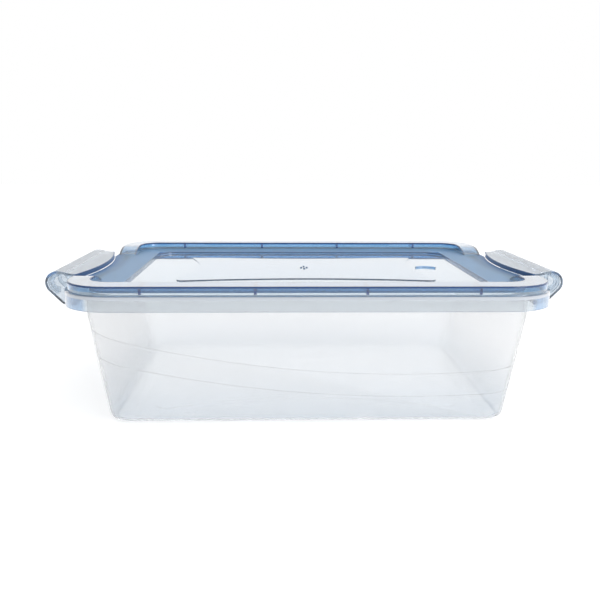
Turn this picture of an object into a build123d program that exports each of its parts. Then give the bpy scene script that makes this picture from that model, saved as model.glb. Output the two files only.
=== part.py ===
"""Under bed storage box: a shallow tapered tub, a lift-off lid and two clip handles.

Millimetres. +X runs along the length, +Y towards the back, +Z up.
The origin is the centre of the tub's underside.
"""

from build123d import *
import os
from math import asin, degrees, sqrt

os.makedirs("parts", exist_ok=True)

# ---- overall ----
TOTAL_HEIGHT = 154.0
LID_LENGTH = 507.0
LID_WIDTH = 400.0
LID_CORNER = 53.0
SHEET = 2.0  # wall of the lid moulding

# ---- lid levels, from the top down ----
RIM_TOP = TOTAL_HEIGHT
LEDGE_TOP = RIM_TOP - 9.4
PANEL_TOP = RIM_TOP - 12.3
SKIRT_BOTTOM = RIM_TOP - 25.2

# ---- lid plan ----
RIM_SET_IN = 2.5  # from the skirt's face to the raised rim's face
RIM_LONG_SIDE = 29.0  # width of the raised rim along the long sides
RIM_SHORT_SIDE = 23.0  # and along the short sides
RIM_INNER_CORNER = 24.0
RIM_EDGE = 1.4  # rounding of the rim's top edges
RAMP_FOOT = 100.0  # |y| where the raised rim has sunk to the ledge
RAMP_HEAD = 137.0  # |y| where it reaches full height
PANEL_LENGTH = 400.0
PANEL_WIDTH = 272.0
PANEL_CORNER = 26.0
RIB_X = (-169.0, -55.6, 55.6, 169.0)
RIB_THICK = 2.6
RIB_DEPTH = 6.2  # how far the ribs hang below the rim's top sheet

# ---- marks on the lid's panel ----
MARK_RISE = 0.9
EMBOSS_CORNER = (153.0, 97.0)
EMBOSS_BOW = (132.0, 80.0)  # how near the centre the short and long sides come
EMBOSS_ROUND = 8.0
GATE_DOT = 1.3
GATE_REACH = (3.4, 9.0)  # how far the gate mark's four dots stand from the centre
ARC_MARK = ((142.0, 4.0), (154.0, 8.0), (166.0, 0.0))
ARC_MARK_WIDTH = 1.4

# ---- tongue bay: an arc in plan where each handle's tongue sits in the lid's edge ----
BAY_RADIUS = 385.0
BAY_APEX = 243.4  # |x| of the lid's edge at y = 0
TONGUE_GAP = 0.6

# ---- tub ----
FOOT_LENGTH = 430.0
FOOT_WIDTH = 322.0
FOOT_CORNER = 26.0
FOOT_EDGE = 8.0
TUB_WALL = 2.0
FLOOR = 2.2
NECK_Z = 114.0  # the walls stand upright above this
TAPER = 0.175  # wall slope
STEPS = (0.0, 0.5, 1.0)  # how far the long walls stand out below, between and above the waves
WAVES = ((110.0, 27.5, 1310.0), (100.0, 53.7, 1170.0))  # lowest x, lowest z, radius
FLANGE_THICK = 2.0
FLANGE_TOP = LEDGE_TOP - SHEET
FLANGE_GAP = 0.8  # between the flange and the inside of the lid's skirt
PAD_CORNER = (176.0, 134.0)  # the low pad on the floor
PAD_BOW = (162.0, 88.0)
PAD_ROUND = 14.0
PAD_RISE = 0.8

# ---- handles ----
HANDLE_LENGTH = 192.0
HANDLE_SHEET = 2.5
TONGUE_START = BAY_APEX - 2.0  # before the bay's arc trims it
TONGUE_END = LID_LENGTH / 2 + 6.0
TONGUE_TOP = RIM_TOP - 3.8
CREST_X = LID_LENGTH / 2 + 25.0
CREST_TOP = RIM_TOP - 0.8
CREST_RADIUS = 13.0
LEG_RUN = 13.2  # how far the 45 degree leg comes in, and down
HEEL_RADIUS = 8.0
LIP_DROP = 5.0
LIP_THICK = 2.0
PIN_RADIUS = 3.0
PIN_CLEARANCE = 0.08
PIVOT_X = LID_LENGTH / 2 + 7.0
GUSSET_DEPTH = 4.0
GUSSET_THICK = 1.6
GUSSET_Y = (-91.0, -84.0, -56.0, -28.0, 0.0, 28.0, 56.0, 84.0, 91.0)

# ---- hinge ears on the tub ----
EAR_GAP = 1.0  # from the handle's end to the ear
EAR_THICK = 3.5
EAR_NOSE = 5.5
EAR_ROOT = (116.0, 128.0)  # where an ear's arm leaves the wall
EAR_SHELF = 249.7  # |x| where the upright part of an ear stops, inside the lid's skirt
PIN_REACH = 1.5  # how far a pin stands out past its ear

HALF_X = LID_LENGTH / 2
HALF_Y = LID_WIDTH / 2
LAP = 0.5  # overlap that joins stacked shapes


def rounded(half_x, half_y, corner, mode=Mode.ADD):
    """A rounded rectangle, given by its half sizes, in the open sketch."""
    RectangleRounded(2 * half_x, 2 * half_y, corner, mode=mode)


def lid_outline(inset):
    """The lid's plan moved in by inset, with a tongue bay in each short end."""
    with BuildSketch() as outline:
        rounded(HALF_X - inset, HALF_Y - inset, LID_CORNER - inset)
        bay_centre = BAY_APEX + BAY_RADIUS
        with Locations((bay_centre, 0), (-bay_centre, 0)):
            Circle(BAY_RADIUS + inset, mode=Mode.SUBTRACT)
    return outline.sketch


def pincushion(corner, bow, radius):
    """A four-cornered outline whose sides bow in towards the centre."""
    cx, cy = corner
    bx, by = bow
    with BuildSketch() as shape:
        with BuildLine():
            ThreePointArc((-cx, -cy), (0, -by), (cx, -cy))
            ThreePointArc((cx, -cy), (bx, 0), (cx, cy))
            ThreePointArc((cx, cy), (0, by), (-cx, cy))
            ThreePointArc((-cx, cy), (-bx, 0), (-cx, -cy))
        make_face()
        fillet(shape.vertices(), radius)
    return shape.sketch


def ramp_gap(top):
    """What is cut from the rim between its ramps, for a rim whose top is at top."""
    fall = RIM_TOP - LEDGE_TOP
    run = RAMP_HEAD - RAMP_FOOT
    radius = (run**2 + fall**2) / (2 * fall)
    half_drop = radius - sqrt(radius**2 - (run / 2) ** 2)
    half_y = RAMP_HEAD - run / 2
    with BuildPart() as gap:
        with BuildSketch(Plane.YZ):
            with BuildLine():
                Polyline(
                    (-RAMP_HEAD, top),
                    (-RAMP_HEAD, top + fall),
                    (RAMP_HEAD, top + fall),
                    (RAMP_HEAD, top),
                )
                ThreePointArc(
                    (RAMP_HEAD, top), (half_y, top - half_drop), (RAMP_FOOT, top - fall)
                )
                Line((RAMP_FOOT, top - fall), (-RAMP_FOOT, top - fall))
                ThreePointArc(
                    (-RAMP_FOOT, top - fall), (-half_y, top - half_drop), (-RAMP_HEAD, top)
                )
            make_face()
        extrude(amount=LID_LENGTH, both=True)
    return gap.part


def raised_rim(inset, base):
    """The raised rim, or with an inset the hollow underneath it."""
    top = RIM_TOP - inset
    outer = RIM_SET_IN + inset
    inner_x = RIM_SET_IN + RIM_SHORT_SIDE - inset
    inner_y = RIM_SET_IN + RIM_LONG_SIDE - inset
    with BuildPart() as rim:
        with BuildSketch(Plane.XY.offset(base)):
            rounded(HALF_X - outer, HALF_Y - outer, LID_CORNER - outer)
            rounded(
                HALF_X - inner_x,
                HALF_Y - inner_y,
                RIM_INNER_CORNER + inset,
                mode=Mode.SUBTRACT,
            )
        extrude(amount=top - base)
        if inset == 0:
            fillet(rim.faces().sort_by(Axis.Z)[-1].edges(), RIM_EDGE)
        add(ramp_gap(top), mode=Mode.SUBTRACT)
    return rim.part


def wave_height(wave, x):
    """Height at x of a wave, which is the low part of a large circle."""
    low_x, low_z, radius = wave
    return low_z + radius - sqrt(radius**2 - (x - low_x) ** 2)


def above_wave(wave, lift):
    """A block that holds everything above a wave, up to the neck."""
    low_x, low_z, _ = wave
    left, right = -HALF_X, HALF_X
    with BuildPart() as block:
        with BuildSketch(Plane.XZ):
            with BuildLine():
                ThreePointArc(
                    (left, wave_height(wave, left) + lift),
                    (low_x, low_z + lift),
                    (right, wave_height(wave, right) + lift),
                )
                Polyline(
                    (right, wave_height(wave, right) + lift),
                    (right, NECK_Z + LAP),
                    (left, NECK_Z + LAP),
                    (left, wave_height(wave, left) + lift),
                )
            make_face()
        extrude(amount=LID_WIDTH, both=True)
    return block.part


def tub_section(index, inset, z):
    """The outline at height z of one of the tub's stretches; the short walls have no step."""
    grown = TAPER * z - inset
    half_y = FOOT_WIDTH / 2 + grown + STEPS[index]
    rounded(FOOT_LENGTH / 2 + grown, half_y, FOOT_CORNER + grown)


def tub_stretch(index, inset, base):
    """A tapered stretch of the tub up to the neck, moved in by inset.

    The first starts at base with a rounded edge, the others at their wave.
    """
    with BuildPart() as stretch:
        with BuildSketch(Plane.XY.offset(base)):
            tub_section(index, inset, base)
        with BuildSketch(Plane.XY.offset(NECK_Z)):
            tub_section(index, inset, NECK_Z)
        loft(ruled=True)
        if index == 0:
            fillet(stretch.edges().group_by(Axis.Z)[0], FOOT_EDGE - inset)
        else:
            add(above_wave(WAVES[index - 1], inset), mode=Mode.INTERSECT)
    return stretch.part


def tub_form(inset, base, top):
    """The whole tub shape: three tapered stretches, then the upright neck."""
    with BuildPart() as form:
        for index in range(len(STEPS)):
            add(tub_stretch(index, inset, base))
        with BuildSketch(Plane.XY.offset(NECK_Z)):
            tub_section(-1, inset, NECK_Z)
        extrude(amount=top - NECK_Z)
    return form.part


def ear_profiles():
    """The left and right hinge ears of one row, seen from the front."""
    with BuildSketch() as ears:
        with Locations((PIVOT_X, PIVOT_Z)):
            Circle(EAR_NOSE)
        with Locations((NECK_X + TUB_WALL / 2, sum(EAR_ROOT) / 2)):
            Rectangle(TUB_WALL, EAR_ROOT[1] - EAR_ROOT[0])
        make_hull()
        shelf_top = FLANGE_TOP - LAP
        with Locations(((NECK_X - LAP + EAR_SHELF) / 2, (EAR_ROOT[1] + shelf_top) / 2)):
            Rectangle(EAR_SHELF - NECK_X + LAP, shelf_top - EAR_ROOT[1])
        mirror(about=Plane.YZ)
    return ears.sketch


# ---- the tongue swells up to the crest along two equal arcs ----
SWELL_RUN = CREST_X - TONGUE_END
SWELL_RISE = CREST_TOP - TONGUE_TOP
SWELL_RADIUS = (SWELL_RUN**2 + SWELL_RISE**2) / (4 * SWELL_RISE)
SWELL_TURN = degrees(asin(SWELL_RUN / 2 / SWELL_RADIUS))

# ---- the pivot sits where the handle's heel ends ----
HEEL_START_X = CREST_X + CREST_RADIUS * sqrt(0.5) - LEG_RUN
HEEL_START_Z = CREST_TOP - CREST_RADIUS * (1 + sqrt(0.5)) - LEG_RUN
HEEL_LOW = HEEL_START_Z - HEEL_RADIUS * (1 - sqrt(0.5))
PIVOT_Z = HEEL_LOW + PIN_RADIUS
EAR_INNER = HANDLE_LENGTH / 2 + EAR_GAP
PIN_LENGTH = 2 * (EAR_INNER + EAR_THICK + PIN_REACH)

# ---- tub ----
NECK_X = FOOT_LENGTH / 2 + TAPER * NECK_Z
EARS = ear_profiles()
with BuildPart() as tub:
    add(tub_form(0, 0, FLANGE_TOP))
    with BuildSketch(Plane.XY.offset(FLANGE_TOP - FLANGE_THICK)):
        add(lid_outline(SHEET + FLANGE_GAP))
    extrude(amount=FLANGE_THICK)
    for ear_far_y in (-EAR_INNER, EAR_INNER + EAR_THICK):
        with BuildSketch(Plane.XZ.offset(-ear_far_y)):
            add(EARS)
        extrude(amount=EAR_THICK)
    add(tub_form(TUB_WALL, FLOOR, FLANGE_TOP + LAP), mode=Mode.SUBTRACT)
    with BuildSketch(Plane.XZ):
        with Locations((PIVOT_X, PIVOT_Z), (-PIVOT_X, PIVOT_Z)):
            Circle(PIN_RADIUS + PIN_CLEARANCE)
    extrude(amount=LID_WIDTH, both=True, mode=Mode.SUBTRACT)
    with BuildSketch(Plane.XY.offset(FLOOR - LAP)):
        add(pincushion(PAD_CORNER, PAD_BOW, PAD_ROUND))
    extrude(amount=PAD_RISE + LAP)
tub.part.label = "tub"
export_step(tub.part, "parts/tub.step")

# ---- lid ----
with BuildPart() as lid:
    with BuildSketch(Plane.XY.offset(SKIRT_BOTTOM)):
        add(lid_outline(0))
    extrude(amount=LEDGE_TOP - SKIRT_BOTTOM)
    with BuildSketch(Plane.XY.offset(SKIRT_BOTTOM)):
        add(lid_outline(SHEET))
    extrude(amount=FLANGE_TOP - SKIRT_BOTTOM, mode=Mode.SUBTRACT)
    add(raised_rim(0, FLANGE_TOP))
    with BuildSketch(Plane.XY.offset(FLANGE_TOP)):
        with Locations((BAY_APEX + BAY_RADIUS, 0), (-BAY_APEX - BAY_RADIUS, 0)):
            Circle(BAY_RADIUS)
    extrude(amount=RIM_TOP - FLANGE_TOP, mode=Mode.SUBTRACT)
    with BuildSketch(Plane.XY.offset(PANEL_TOP - SHEET)):
        rounded(PANEL_LENGTH / 2 + SHEET, PANEL_WIDTH / 2 + SHEET, PANEL_CORNER + SHEET)
    extrude(amount=LEDGE_TOP - PANEL_TOP + SHEET)
    with BuildSketch(Plane.XY.offset(PANEL_TOP)):
        rounded(PANEL_LENGTH / 2, PANEL_WIDTH / 2, PANEL_CORNER)
    extrude(amount=LEDGE_TOP - PANEL_TOP, mode=Mode.SUBTRACT)
    add(raised_rim(SHEET, FLANGE_TOP - LAP), mode=Mode.SUBTRACT)

    rib_y = HALF_Y - RIM_SET_IN - RIM_LONG_SIDE / 2
    with BuildSketch(Plane.XY.offset(RIM_TOP - SHEET - RIB_DEPTH)):
        with Locations([(x, y) for x in RIB_X for y in (-rib_y, rib_y)]):
            Rectangle(RIB_THICK, RIM_LONG_SIDE - SHEET)
    extrude(amount=RIB_DEPTH + LAP)

    with BuildSketch(Plane.XY.offset(PANEL_TOP - LAP)):
        add(pincushion(EMBOSS_CORNER, EMBOSS_BOW, EMBOSS_ROUND))
    extrude(amount=MARK_RISE + LAP)
    with BuildSketch(Plane.XY.offset(PANEL_TOP + MARK_RISE - LAP)):
        reach_x, reach_y = GATE_REACH
        with Locations((reach_x, 0), (-reach_x, 0), (0, reach_y), (0, -reach_y)):
            Circle(GATE_DOT)
    extrude(amount=MARK_RISE + LAP)
    with BuildSketch(Plane.XY.offset(PANEL_TOP - LAP)):
        with BuildLine(mode=Mode.PRIVATE) as mark_line:
            ThreePointArc(*ARC_MARK)
        SlotArc(mark_line.edges()[0], ARC_MARK_WIDTH)
    extrude(amount=2 * MARK_RISE + LAP)
lid.part.label = "lid"
export_step(lid.part, "parts/lid.step")

# ---- handles ----
with BuildPart() as right_handle:
    with BuildSketch(Plane.XZ) as shell:
        with BuildLine() as shell_line:
            Line((TONGUE_START, TONGUE_TOP), (TONGUE_END, TONGUE_TOP))
            rise = JernArc((TONGUE_END, TONGUE_TOP), (1, 0), SWELL_RADIUS, SWELL_TURN)
            JernArc(rise @ 1, rise % 1, SWELL_RADIUS, -SWELL_TURN)
            JernArc((CREST_X, CREST_TOP), (1, 0), CREST_RADIUS, -135)
            Line(
                (HEEL_START_X + LEG_RUN, HEEL_START_Z + LEG_RUN),
                (HEEL_START_X, HEEL_START_Z),
            )
            JernArc((HEEL_START_X, HEEL_START_Z), (-1, -1), HEEL_RADIUS, -45)
            Line((HEEL_START_X - HEEL_RADIUS * sqrt(0.5), HEEL_LOW), (PIVOT_X, HEEL_LOW))
            offset(amount=HANDLE_SHEET, side=Side.RIGHT)
        make_face()
        with Locations((PIVOT_X, PIVOT_Z)):
            Circle(PIN_RADIUS)
    extrude(amount=HANDLE_LENGTH / 2, both=True)

    for gusset_y in GUSSET_Y:
        with BuildSketch(Plane.XZ.offset(GUSSET_THICK / 2 - gusset_y)):
            with Locations((CREST_X, CREST_TOP - CREST_RADIUS)):
                Circle(CREST_RADIUS - LAP)
                Circle(CREST_RADIUS - HANDLE_SHEET - GUSSET_DEPTH, mode=Mode.SUBTRACT)
                with Locations((-CREST_RADIUS, -CREST_RADIUS / 2)):
                    Rectangle(2 * CREST_RADIUS, 4 * CREST_RADIUS, mode=Mode.SUBTRACT)
        extrude(amount=-GUSSET_THICK)

    with BuildSketch(Plane.XY.offset(TONGUE_TOP - LIP_DROP)):
        with Locations((BAY_APEX + BAY_RADIUS, 0)):
            Circle(BAY_RADIUS)
            Circle(BAY_RADIUS - TONGUE_GAP - LIP_THICK, mode=Mode.SUBTRACT)
        with Locations((BAY_APEX, 0)):
            Rectangle(BAY_RADIUS, HANDLE_LENGTH, mode=Mode.INTERSECT)
    extrude(amount=LIP_DROP - LAP)

    with BuildSketch(Plane.XY):
        with Locations((BAY_APEX + BAY_RADIUS, 0)):
            Circle(BAY_RADIUS - TONGUE_GAP)
    extrude(amount=TOTAL_HEIGHT, mode=Mode.INTERSECT)

    with BuildSketch(Plane.XZ):
        with Locations((PIVOT_X, PIVOT_Z)):
            Circle(PIN_RADIUS)
    extrude(amount=PIN_LENGTH / 2, both=True)
right_handle.part.label = "right_handle"
export_step(right_handle.part, "parts/right_handle.step")

with BuildPart() as left_handle:
    add(right_handle.part)
    mirror(about=Plane.YZ, mode=Mode.REPLACE)
left_handle.part.label = "left_handle"
export_step(left_handle.part, "parts/left_handle.step")
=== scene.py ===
"""Under bed storage box: camera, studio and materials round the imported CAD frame."""

from math import radians

import bpy
from mathutils import Matrix, Vector


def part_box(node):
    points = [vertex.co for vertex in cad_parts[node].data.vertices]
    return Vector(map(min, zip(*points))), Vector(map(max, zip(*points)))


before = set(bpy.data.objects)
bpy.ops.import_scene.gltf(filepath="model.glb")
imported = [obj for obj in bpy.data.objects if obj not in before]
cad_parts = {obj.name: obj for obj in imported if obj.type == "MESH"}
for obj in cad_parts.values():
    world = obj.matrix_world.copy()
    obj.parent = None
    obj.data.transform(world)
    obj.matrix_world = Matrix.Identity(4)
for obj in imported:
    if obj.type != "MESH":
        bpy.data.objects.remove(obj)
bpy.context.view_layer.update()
LID_LOW, LID_HIGH = (Vector(corner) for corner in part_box("lid"))
TUB_LOW, TUB_HIGH = (Vector(corner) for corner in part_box("tub"))
MM = 0.001

scene = bpy.context.scene

# ---- camera, placed from the lid's front edge and top ----
CAMERA_SIDE = -0.0359
CAMERA_BACK = 0.6943
CAMERA_RISE = 0.1262
CAMERA_YAW = radians(2.0)
CAMERA_PITCH = radians(11.31)
CAMERA_ROLL = radians(0.31)
CAMERA_LENS = 43.25

# ---- studio ----
FLOOR_SIZE = 12.0
FLOOR_COLOR = (0.45, 0.452, 0.455, 1.0)
FLOOR_GLOW = 0.70
WORLD_LEFT = (0.40, 0.43, 0.47, 1.0)
WORLD_MIDDLE = (1.06, 1.065, 1.07, 1.0)
WORLD_RIGHT = (1.35, 1.36, 1.37, 1.0)
SOFTBOX_PLACE = (0.75, -0.80, 0.50)
SOFTBOX_AIM = (0.15, -0.15, 0.10)
SOFTBOX_SIZE = (0.40, 0.55)
SOFTBOX_POWER = 2.6

# ---- levels and outlines on the lid that its finish follows ----
LEDGE_Z = LID_HIGH.z - 9.4 * MM
FLANGE_Z = TUB_HIGH.z - 2.0 * MM  # underside of the tub's flange
PANEL_Z = LID_HIGH.z - 12.3 * MM
PANEL_HALF = (200.5 * MM, 136.5 * MM)
LEDGE_HALF_Y = 168.5 * MM
SKIRT_END = 221.0 * MM  # |x| where the skirt begins to stand clear of the tub
BAY_RADIUS = 385.0 * MM
BAY_CENTRE_X = 243.4 * MM + BAY_RADIUS
BAY_SHADE = 24.0 * MM  # how far in from the tongue bay the tint is deeper

TONGUE_Z = LID_HIGH.z - 3.8 * MM  # level top of the handles' tongues

# ---- plastics ----
IOR_PP = 1.49
SCUFF_SIZE = 22.0 * MM
SCUFF_ROUGH = 0.03
RIPPLE_SIZE = 30.0 * MM
RIPPLE_DEPTH = 0.25 * MM
EDGE_DOTS = (0.78, 0.97)  # how far the bevelled normal turns from the face, as a dot product

CLEAR_ROUGH = 0.14
CLEAR_EDGE = 0.6 * MM
CLEAR_RIPPLE = 0.02
CLEAR_TRANSMISSION = 0.94
CLEAR_CLOUD = ((0.955, 0.957, 0.962, 1.0), (0.97, 0.972, 0.975, 1.0))
# painted shade: the walls turn darker and bluer towards the foot
CLEAR_FOOT_SHADE = (0.86, 0.89, 0.92, 1.0)
CLEAR_FOOT_SHADE_TOP = 80.0 * MM  # the bluer foot fades out by this height
CLEAR_SCUFF = (0.975, 0.98, 0.985, 1.0)
# painted shade: darker, bluer lines along the edges and wave steps
CLEAR_EDGE_SHADE = (0.88, 0.92, 0.96, 1.0)
FLANGE_SOLID = 0.45

BLUE_ROUGH = 0.05
BLUE_EDGE = 0.5 * MM
BLUE_RIPPLE = 0.05
BLUE_TRANSMISSION = 0.95
# painted shade: dark blue lines along the edges of lid and handles
BLUE_EDGE_SHADE = (0.18, 0.35, 0.62, 1.0)
EDGE_SOLID = 0.6
COAT_ROUGH = 0.04
DEPTH_TINT = (0.08, 0.45, 0.72, 1.0)

LID_CLOUD = ((0.925, 0.92, 0.915, 1.0), (0.945, 0.94, 0.93, 1.0))
LID_DENSITY = 200.0
LID_TINTS = {  # in the order they are laid over each other
    "satin": (0.37, 0.635, 0.88, 1.0),
    # bay: painted shade on the ledge beneath the tongue's edge
    "bay": (0.035, 0.15, 0.38, 1.0),
    "skirt": (0.90, 0.855, 0.82, 1.0),
    "corner": (0.55, 0.68, 0.84, 1.0),
    "hem": (0.66, 0.69, 0.735, 1.0),
    "step": (0.36, 0.58, 0.84, 1.0),
    "gate": (0.06, 0.13, 0.25, 1.0),
    "rim_side": (0.43, 0.70, 0.95, 1.0),
}
# painted shade: navy line along the raised rim's top edge
RIM_EDGE_SHADE = (0.035, 0.09, 0.24, 1.0)
LID_SOLID = {
    "rim_edge_shade": 0.6,
    "satin": 0.25,
    "bay": 0.8,
    "skirt": 0.10,
    "corner": 0.32,
    "hem": 0.6,
    "gate": 0.7,
}
SATIN_ROUGH = 0.38

HANDLE_CLOUD = ((0.78, 0.835, 0.89, 1.0), (0.81, 0.86, 0.91, 1.0))
HANDLE_DENSITY = 14.0  # low, because light runs the whole length of a handle
HANDLE_COAT = 0.35
FROST_TINT = (0.74, 0.77, 0.81, 1.0)
FROST_ROUGH = 0.3
FROST_SOLID = 0.38
# painted shade: navy on the lip along a tongue's inner edge and a line on its top
LIP_SHADE = (0.04, 0.11, 0.27, 1.0)
LIP_SOLID = 0.6


def make_camera():
    data = bpy.data.cameras.new("camera")
    data.lens = CAMERA_LENS
    data.sensor_width = 36.0
    data.clip_end = 50.0
    camera = bpy.data.objects.new("camera", data)
    place = Vector((CAMERA_SIDE, LID_LOW.y - CAMERA_BACK, LID_HIGH.z + CAMERA_RISE))
    turn = (
        Matrix.Rotation(-CAMERA_YAW, 4, "Z")
        @ Matrix.Rotation(radians(90) - CAMERA_PITCH, 4, "X")
        @ Matrix.Rotation(CAMERA_ROLL, 4, "Z")
    )
    camera.matrix_world = Matrix.Translation(place) @ turn
    scene.collection.objects.link(camera)
    scene.camera = camera


class Nodes:
    """Short calls for building a node tree."""

    def __init__(self, tree):
        self.tree = tree

    def new(self, kind, **settings):
        node = self.tree.nodes.new(kind)
        for name, value in settings.items():
            setattr(node, name, value)
        return node

    def put(self, source, socket):
        """Links a socket, or sets a plain value, on an input socket."""
        if isinstance(source, bpy.types.NodeSocket):
            self.tree.links.new(source, socket)
        else:
            socket.default_value = source

    def math(self, operation, first, second=0.0):
        node = self.new("ShaderNodeMath", operation=operation)
        self.put(first, node.inputs[0])
        self.put(second, node.inputs[1])
        return node.outputs[0]

    def band(self, value, low, high, soft):
        """1 where value is between low and high, fading over soft at both ends."""
        rise = self.ramp(value, low - soft, low + soft, 0.0, 1.0)
        fall = self.ramp(value, high - soft, high + soft, 1.0, 0.0)
        return self.math("MULTIPLY", rise, fall)

    def ramp(self, value, start, end, low, high):
        node = self.new("ShaderNodeMapRange", clamp=True, interpolation_type="SMOOTHSTEP")
        self.put(value, node.inputs["Value"])
        node.inputs["From Min"].default_value = start
        node.inputs["From Max"].default_value = end
        node.inputs["To Min"].default_value = low
        node.inputs["To Max"].default_value = high
        return node.outputs["Result"]

    def blend(self, factor, first, second):
        node = self.new("ShaderNodeMix", data_type="RGBA")
        self.put(factor, node.inputs["Factor"])
        self.put(first, node.inputs[6])
        self.put(second, node.inputs[7])
        return node.outputs[2]

    def place(self):
        """Position on the moulding itself, which stays with it when it moves."""
        return self.new("ShaderNodeTexCoord").outputs["Object"]

    def axes(self, vector):
        split = self.new("ShaderNodeSeparateXYZ")
        self.put(vector, split.inputs[0])
        return split.outputs

    def noise(self, vector, size, detail=3.0, rough=0.5, stretch=(1, 1, 1)):
        """Noise whose features are about size metres across."""
        mapping = self.new("ShaderNodeMapping")
        self.put(vector, mapping.inputs["Vector"])
        mapping.inputs["Scale"].default_value = [part / size for part in stretch]
        texture = self.new("ShaderNodeTexNoise")
        self.put(mapping.outputs[0], texture.inputs["Vector"])
        texture.inputs["Scale"].default_value = 1.0
        texture.inputs["Detail"].default_value = detail
        texture.inputs["Roughness"].default_value = rough
        return texture.outputs["Fac"]


def new_material(name):
    material = bpy.data.materials.new(name)
    material.use_nodes = True
    tree = material.node_tree
    return material, Nodes(tree), tree.nodes["Principled BSDF"]


def make_world():
    """A bright tent, a little darker to the left; the camera itself sees plain white."""
    world = bpy.data.worlds.new("studio")
    world.use_nodes = True
    nodes = Nodes(world.node_tree)
    light = world.node_tree.nodes["Background"]
    across = nodes.axes(nodes.new("ShaderNodeTexCoord").outputs["Generated"])[0]
    left = nodes.blend(nodes.ramp(across, -0.95, -0.35, 0.0, 1.0), WORLD_LEFT, WORLD_MIDDLE)
    right = nodes.blend(nodes.ramp(across, 0.25, 0.85, 0.0, 1.0), left, WORLD_RIGHT)
    nodes.put(right, light.inputs["Color"])
    backdrop = nodes.new("ShaderNodeBackground")
    backdrop.inputs["Color"].default_value = (1.0, 1.0, 1.0, 1.0)
    mix = nodes.new("ShaderNodeMixShader")
    nodes.put(nodes.new("ShaderNodeLightPath").outputs["Is Camera Ray"], mix.inputs[0])
    nodes.put(light.outputs[0], mix.inputs[1])
    nodes.put(backdrop.outputs[0], mix.inputs[2])
    nodes.put(mix.outputs[0], world.node_tree.nodes["World Output"].inputs["Surface"])
    scene.world = world


def make_floor():
    """A plain white sweep, lit a little from below like a light table."""
    mesh = bpy.data.meshes.new("floor")
    half = FLOOR_SIZE / 2
    corners = [(-half, -half, 0), (half, -half, 0), (half, half, 0), (-half, half, 0)]
    mesh.from_pydata(corners, [], [(0, 1, 2, 3)])
    floor = bpy.data.objects.new("floor", mesh)
    scene.collection.objects.link(floor)
    material, _, shader = new_material("floor_paper")
    shader.inputs["Base Color"].default_value = FLOOR_COLOR
    shader.inputs["Roughness"].default_value = 0.9
    shader.inputs["Specular IOR Level"].default_value = 0.0
    shader.inputs["Emission Color"].default_value = (1.0, 1.0, 1.0, 1.0)
    shader.inputs["Emission Strength"].default_value = FLOOR_GLOW
    mesh.materials.append(material)


def make_area(name, place, aim, size, power):
    data = bpy.data.lights.new(name, "AREA")
    data.shape = "RECTANGLE"
    data.size, data.size_y = size
    data.energy = power
    light = bpy.data.objects.new(name, data)
    light.location = place
    light.rotation_euler = (Vector(aim) - Vector(place)).to_track_quat("-Z", "Y").to_euler()
    scene.collection.objects.link(light)


# ---- materials ----
def moulded_surface(nodes, shader, place, rough, edge_radius, ripple_strength):
    """Faint mould ripple, fine scuffs and softened edges; returns masks of scuffs and edges."""
    scuffs = nodes.noise(place, SCUFF_SIZE, detail=6.0, rough=0.62, stretch=(0.35, 1.0, 1.0))
    scuffs = nodes.ramp(scuffs, 0.56, 0.74, 0.0, 1.0)
    rough = nodes.math("ADD", rough, nodes.math("MULTIPLY", scuffs, SCUFF_ROUGH))
    nodes.put(rough, shader.inputs["Roughness"])
    ripple = nodes.noise(place, RIPPLE_SIZE, detail=1.0)
    bump = nodes.new("ShaderNodeBump")
    bump.inputs["Strength"].default_value = ripple_strength
    bump.inputs["Distance"].default_value = RIPPLE_DEPTH
    nodes.put(ripple, bump.inputs["Height"])
    bevel = nodes.new("ShaderNodeBevel", samples=6)
    bevel.inputs["Radius"].default_value = edge_radius
    nodes.put(bevel.outputs[0], bump.inputs["Normal"])
    nodes.put(bump.outputs[0], shader.inputs["Normal"])
    turn = nodes.new("ShaderNodeVectorMath", operation="DOT_PRODUCT")
    nodes.put(bevel.outputs[0], turn.inputs[0])
    nodes.put(nodes.new("ShaderNodeNewGeometry").outputs["Normal"], turn.inputs[1])
    edges = nodes.ramp(turn.outputs["Value"], *EDGE_DOTS, 1.0, 0.0)
    return scuffs, edges


def absorb(nodes, color, density):
    """Tint that deepens with the length of the way through the plastic."""
    volume = nodes.new("ShaderNodeVolumeAbsorption")
    volume.inputs["Color"].default_value = color
    volume.inputs["Density"].default_value = density
    nodes.put(volume.outputs[0], nodes.tree.nodes["Material Output"].inputs["Volume"])


def clear_plastic():
    """Clear polypropylene with a slight milky haze; painted shade makes it a little bluer and
    darker towards the foot and along its edges.
    """
    material, nodes, shader = new_material("clear_plastic")
    place = nodes.place()
    scuffs, edges = moulded_surface(
        nodes, shader, place, CLEAR_ROUGH, CLEAR_EDGE, CLEAR_RIPPLE
    )
    cloud = nodes.noise(place, 70 * MM, detail=2.0)
    tint = nodes.blend(cloud, *CLEAR_CLOUD)
    height = nodes.axes(place)[2]
    # painted shade, darker and bluer near the foot
    low = nodes.ramp(height, 0.0, CLEAR_FOOT_SHADE_TOP, 1.0, 0.0)
    tint = nodes.blend(low, tint, CLEAR_FOOT_SHADE)
    tint = nodes.blend(scuffs, tint, CLEAR_SCUFF)
    # painted shade along the edges and wave steps
    nodes.put(nodes.blend(edges, tint, CLEAR_EDGE_SHADE), shader.inputs["Base Color"])
    flange = nodes.ramp(height, FLANGE_Z - MM, FLANGE_Z, 0.0, FLANGE_SOLID)
    clear = nodes.math("SUBTRACT", CLEAR_TRANSMISSION, flange)
    nodes.put(clear, shader.inputs["Transmission Weight"])
    shader.inputs["IOR"].default_value = IOR_PP
    return material


def upright_mask(nodes):
    """1 on faces that aren't level."""
    normal = nodes.axes(nodes.new("ShaderNodeNewGeometry").outputs["Normal"])[2]
    return nodes.ramp(nodes.math("ABSOLUTE", normal), 0.93, 0.98, 1.0, 0.0)


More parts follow.
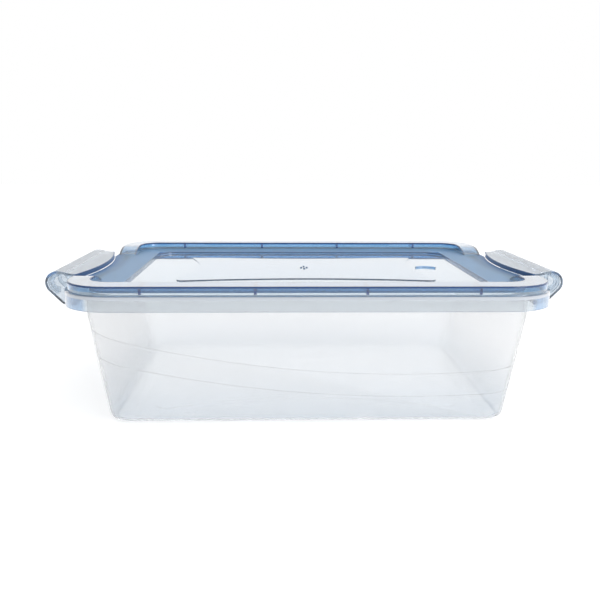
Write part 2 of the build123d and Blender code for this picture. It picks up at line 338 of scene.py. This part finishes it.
def bay_distance(nodes, x, y):
    """How far a point lies outside the circle of the nearer tongue bay, in plan."""
    reach = nodes.math("SUBTRACT", BAY_CENTRE_X, nodes.math("ABSOLUTE", x))
    squares = nodes.math("ADD", nodes.math("POWER", reach, 2.0), nodes.math("POWER", y, 2.0))
    return nodes.math("SUBTRACT", nodes.math("SQRT", squares), BAY_RADIUS)


def lid_masks(nodes, place):
    """Masks for the parts of the lid that are tinted or finished apart, by name."""
    x, y, z = nodes.axes(place)
    across = nodes.math("ABSOLUTE", x)
    along = nodes.math("ABSOLUTE", y)
    level = nodes.band(z, LEDGE_Z - 2.6 * MM, LEDGE_Z + 0.4 * MM, 0.2 * MM)
    inside = nodes.ramp(along, LEDGE_HALF_Y, LEDGE_HALF_Y + MM, 1.0, 0.0)
    panel = nodes.math(
        "MULTIPLY",
        nodes.ramp(across, PANEL_HALF[0] - MM, PANEL_HALF[0], 1.0, 0.0),
        nodes.ramp(along, PANEL_HALF[1] - MM, PANEL_HALF[1], 1.0, 0.0),
    )
    satin = nodes.math("MULTIPLY", level, inside)
    satin = nodes.math("MULTIPLY", satin, nodes.math("SUBTRACT", 1.0, panel))
    # painted shade on the ledge, fading out from beneath the tongue's edge
    bay_shade_fade = nodes.ramp(bay_distance(nodes, x, y), 0.0, BAY_SHADE, 1.0, 0.0)
    upright = upright_mask(nodes)
    top = nodes.ramp(z, LID_HIGH.z - 2.1 * MM, LID_HIGH.z - 1.8 * MM, 0.0, 1.0)
    side = nodes.band(z, LEDGE_Z + 3.2 * MM, LID_HIGH.z - 1.9 * MM, 0.3 * MM)
    marks = nodes.band(z, PANEL_Z + 1.2 * MM, PANEL_Z + 2.2 * MM, 0.1 * MM)
    marks = nodes.math("MULTIPLY", marks, panel)
    below = nodes.ramp(z, LEDGE_Z - 0.9 * MM, LEDGE_Z - 0.6 * MM, 1.0, 0.0)
    below = nodes.math("MULTIPLY", below, upright)
    outside = nodes.math(
        "MAXIMUM",
        nodes.ramp(across, PANEL_HALF[0] + 4 * MM, PANEL_HALF[0] + 5 * MM, 0.0, 1.0),
        nodes.ramp(along, PANEL_HALF[1] + 4 * MM, PANEL_HALF[1] + 5 * MM, 0.0, 1.0),
    )
    skirt = nodes.math("MULTIPLY", below, outside)
    past_tub = nodes.ramp(across, SKIRT_END, SKIRT_END + 7 * MM, 0.0, 1.0)
    upper = nodes.ramp(z, LEDGE_Z - 4.4 * MM, LEDGE_Z - 3.8 * MM, 0.0, 1.0)
    central = nodes.ramp(across, 20 * MM, 21 * MM, 1.0, 0.0)
    return {
        "step": nodes.math("MULTIPLY", below, nodes.math("SUBTRACT", 1.0, outside)),
        "skirt": skirt,
        "corner": nodes.math("MULTIPLY", skirt, past_tub),
        "hem": nodes.math("MULTIPLY", skirt, upper),
        "satin": satin,
        "bay": nodes.math("MULTIPLY", satin, bay_shade_fade),
        "rim_edge_shade": nodes.math("MULTIPLY", top, upright),
        "rim_side": nodes.math("MULTIPLY", side, upright),
        "gate": nodes.math("MULTIPLY", marks, central),
    }


def lip_shade_mask(nodes, place):
    """Mask for the painted shade on the lip along a tongue's inner edge: its upright face and a
    line on its top.
    """
    x, y, _ = nodes.axes(place)
    from_bay = bay_distance(nodes, x, y)
    face = nodes.ramp(from_bay, -3.5 * MM, -3.0 * MM, 0.0, 1.0)
    face = nodes.math("MULTIPLY", face, upright_mask(nodes))
    line = nodes.ramp(from_bay, -2.1 * MM, -1.8 * MM, 0.0, 1.0)
    return nodes.math("MAXIMUM", face, line)


def frost_mask(nodes, place):
    """Mask for the level top of a handle, which is frosted."""
    height = nodes.axes(place)[2]
    top = nodes.ramp(height, TONGUE_Z - 0.8 * MM, TONGUE_Z - 0.4 * MM, 0.0, 1.0)
    return nodes.math("MULTIPLY", top, nodes.math("SUBTRACT", 1.0, upright_mask(nodes)))


def add_solid(nodes, solid, mask, amount):
    """Raises the solid share of the plastic to amount where mask is 1."""
    return nodes.math("MAXIMUM", solid, nodes.math("MULTIPLY", mask, amount))


def blue_plastic(name, lid):
    """Blue-tinted clear polypropylene, for the lid with its satin ledge or for a handle."""
    material, nodes, shader = new_material(name)
    place = nodes.place()
    cloud = nodes.noise(place, 50 * MM, detail=2.0)
    if lid:
        masks = lid_masks(nodes, place)
        tint = nodes.blend(cloud, *LID_CLOUD)
        for part, color in LID_TINTS.items():
            tint = nodes.blend(masks[part], tint, color)
        rough = nodes.math("MULTIPLY", masks["satin"], SATIN_ROUGH)
        bare = nodes.math("MAXIMUM", masks["satin"], masks["rim_edge_shade"])
        bare = nodes.math("MAXIMUM", bare, masks["gate"])
        coat = nodes.math("SUBTRACT", 1.0, bare)
    else:
        frost = frost_mask(nodes, place)
        tint = nodes.blend(cloud, *HANDLE_CLOUD)
        tint = nodes.blend(frost, tint, FROST_TINT)
        rough = nodes.math("MULTIPLY", frost, FROST_ROUGH)
        coat = nodes.math("MULTIPLY", HANDLE_COAT, nodes.math("SUBTRACT", 1.0, frost))
    rough = nodes.math("ADD", BLUE_ROUGH, rough)
    nodes.put(coat, shader.inputs["Coat Weight"])
    _, edges = moulded_surface(nodes, shader, place, rough, BLUE_EDGE, BLUE_RIPPLE)
    # painted shade: dark blue lines along the edges
    tint = nodes.blend(edges, tint, BLUE_EDGE_SHADE)
    solid = nodes.math("MULTIPLY", edges, EDGE_SOLID)
    if lid:
        # painted shade: navy line along the raised rim's top edge
        tint = nodes.blend(masks["rim_edge_shade"], tint, RIM_EDGE_SHADE)
        for part, amount in LID_SOLID.items():
            solid = add_solid(nodes, solid, masks[part], amount)
    else:
        # painted shade on the tongue's lip
        lip = lip_shade_mask(nodes, place)
        tint = nodes.blend(lip, tint, LIP_SHADE)
        solid = add_solid(nodes, solid, lip, LIP_SOLID)
        solid = add_solid(nodes, solid, frost, FROST_SOLID)
    nodes.put(tint, shader.inputs["Base Color"])
    clear = nodes.math("SUBTRACT", BLUE_TRANSMISSION, solid)
    nodes.put(clear, shader.inputs["Transmission Weight"])
    shader.inputs["IOR"].default_value = IOR_PP
    shader.inputs["Coat Roughness"].default_value = COAT_ROUGH
    absorb(nodes, DEPTH_TINT, LID_DENSITY if lid else HANDLE_DENSITY)
    return material


def dress(node, material):
    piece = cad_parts[node]
    for slot in piece.material_slots:
        slot.material = material


make_camera()
make_world()
make_floor()
make_area("softbox", SOFTBOX_PLACE, SOFTBOX_AIM, SOFTBOX_SIZE, SOFTBOX_POWER)
scene.view_settings.view_transform = "Standard"
scene.cycles.max_bounces = 32
scene.cycles.transmission_bounces = 24
scene.cycles.glossy_bounces = 8
scene.cycles.diffuse_bounces = 4

dress("tub", clear_plastic())
dress("lid", blue_plastic("blue_plastic_lid", lid=True))
handle_blue = blue_plastic("blue_plastic_handle", lid=False)
dress("left_handle", handle_blue)
dress("right_handle", handle_blue)
